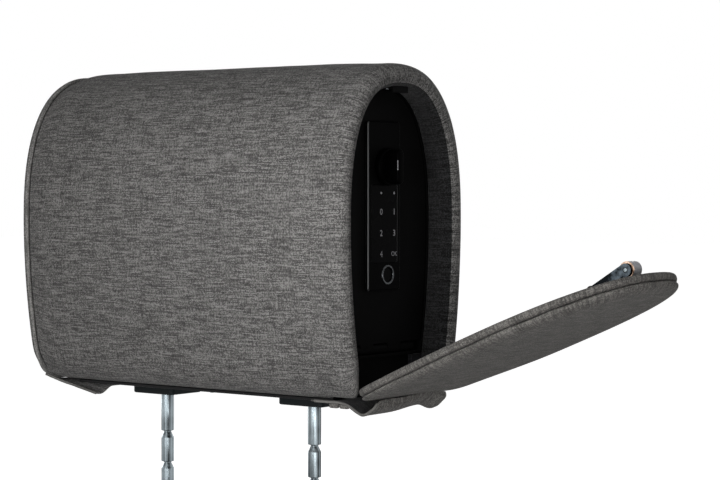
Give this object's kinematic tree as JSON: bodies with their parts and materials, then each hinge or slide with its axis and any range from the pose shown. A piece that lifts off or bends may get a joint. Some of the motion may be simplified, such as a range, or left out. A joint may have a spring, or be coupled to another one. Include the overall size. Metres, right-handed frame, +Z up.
{
  "type": "headrest car safe",
  "caption": "Fabric-covered car headrest on notched posts that hides a steel safe: padded end flap with roller catch, drop-down door with keypad, fingerprint reader and knob latch.",
  "frame": {"origin": "midway between the two posts, on the plane of the brackets' undersides", "axes": "+X along the headrest towards the open end, -Y towards the front of the cover, +Z up"},
  "size_m": [0.528, 0.1508, 0.4201],
  "materials": {
    "weave": "matte",
    "dark_weave": "matte",
    "foam": "matte",
    "felt": "matte",
    "black_steel": "satin",
    "black_plastic": "satin",
    "gloss_black": "gloss",
    "chrome": "polished",
    "zinc": "satin",
    "brass": "polished",
    "nylon": "satin",
    "board_green": "satin",
    "fibreboard": "matte"
  },
  "bodies": {
    "headrest": {"cover_sleeve": "weave", "cover_end_panel": "weave", "end_piping": "dark_weave", "bottom_tab": "weave", "foam_wrap": "foam", "foam_end_pad": "foam", "safe_shell": "black_steel", "door_frame": "black_steel", "floor_mat": "felt", "hinge_leaf": "black_steel", "hinge_pin": "chrome", "base_channel": "black_steel", "base_plate": "black_steel", "base_end_plate": "black_steel", "strap_clamp": "black_steel", "hinge_strap": "weave", "strike_plate": "chrome"},
    "door": {"door_plate": "black_steel", "keypad_panel": "black_plastic", "touch_pad": "gloss_black", "fingerprint_ring": "chrome", "fingerprint_sensor": "gloss_black", "lock_housing": "black_plastic", "battery_cover": "black_plastic", "battery_pack": "gloss_black", "circuit_board": "board_green"},
    "knob_set": {"knob": "black_plastic", "knob_spindle": "chrome", "lock_cam": "zinc"},
    "bolt": {"latch_bolt": "zinc"},
    "left_post": {"post_left": "chrome", "bracket_left": "zinc", "washer_left": "zinc", "nut_left": "zinc"},
    "right_post": {"post_right": "chrome", "bracket_right": "zinc", "washer_right": "zinc", "nut_right": "zinc"},
    "flap": {"flap_inner_pad": "dark_weave", "flap_board": "fibreboard", "flap_outer_pad": "weave", "catch_plate": "black_steel", "catch_pivot_pin": "chrome"},
    "arm": {"catch_arm": "black_steel", "catch_spring": "chrome", "roller_pin": "chrome"},
    "roller_set": {"roller": "nylon", "roller_bush": "brass"}
  },
  "joints": [
    {"name": "flap_hinge", "type": "hinge", "parent": "headrest", "child": "flap", "pos_m": [0.1602, 0, 0.0183], "axis": [0, 1, 0], "range_deg": [-67.25, 42.75], "deforming": ["hinge_strap"]},
    {"name": "door_hinge", "type": "hinge", "parent": "headrest", "child": "door", "pos_m": [0.1323, 0, 0.0437], "axis": [0, 1, 0], "range_deg": [0, 65]},
    {"name": "knob_turn", "type": "hinge", "parent": "door", "child": "knob_set", "pos_m": [0.1393, 0.001, 0.1747], "axis": [1, 0, 0], "range_deg": [0, 90]},
    {"name": "bolt_lift", "type": "slide", "parent": "door", "child": "bolt", "axis": [0, 0, 1], "range_m": [0, 0.0057]},
    {"name": "catch_flex", "type": "hinge", "parent": "flap", "child": "arm", "pos_m": [0.31783, 0, 0.09156], "axis": [0, 1, 0], "range_deg": [0, 3.5], "stiffness_Nm_per_rad": 1.5, "springref_deg": -5.73},
    {"name": "roller_spin", "type": "hinge", "parent": "arm", "child": "roller_set", "pos_m": [0.34304, 0, 0.10592], "axis": [0, 1, 0], "continuous": true},
    {"name": "left_post_slide", "type": "slide", "parent": "headrest", "child": "left_post", "axis": [1, 0, 0], "range_m": [-0.012, 0.012]},
    {"name": "right_post_slide", "type": "slide", "parent": "headrest", "child": "right_post", "axis": [1, 0, 0], "range_m": [-0.012, 0.012]}
  ],
  "couplings": [
    {"joint": "knob_turn", "follows": "bolt_lift", "rad_per_m": 275.5}
  ]
}
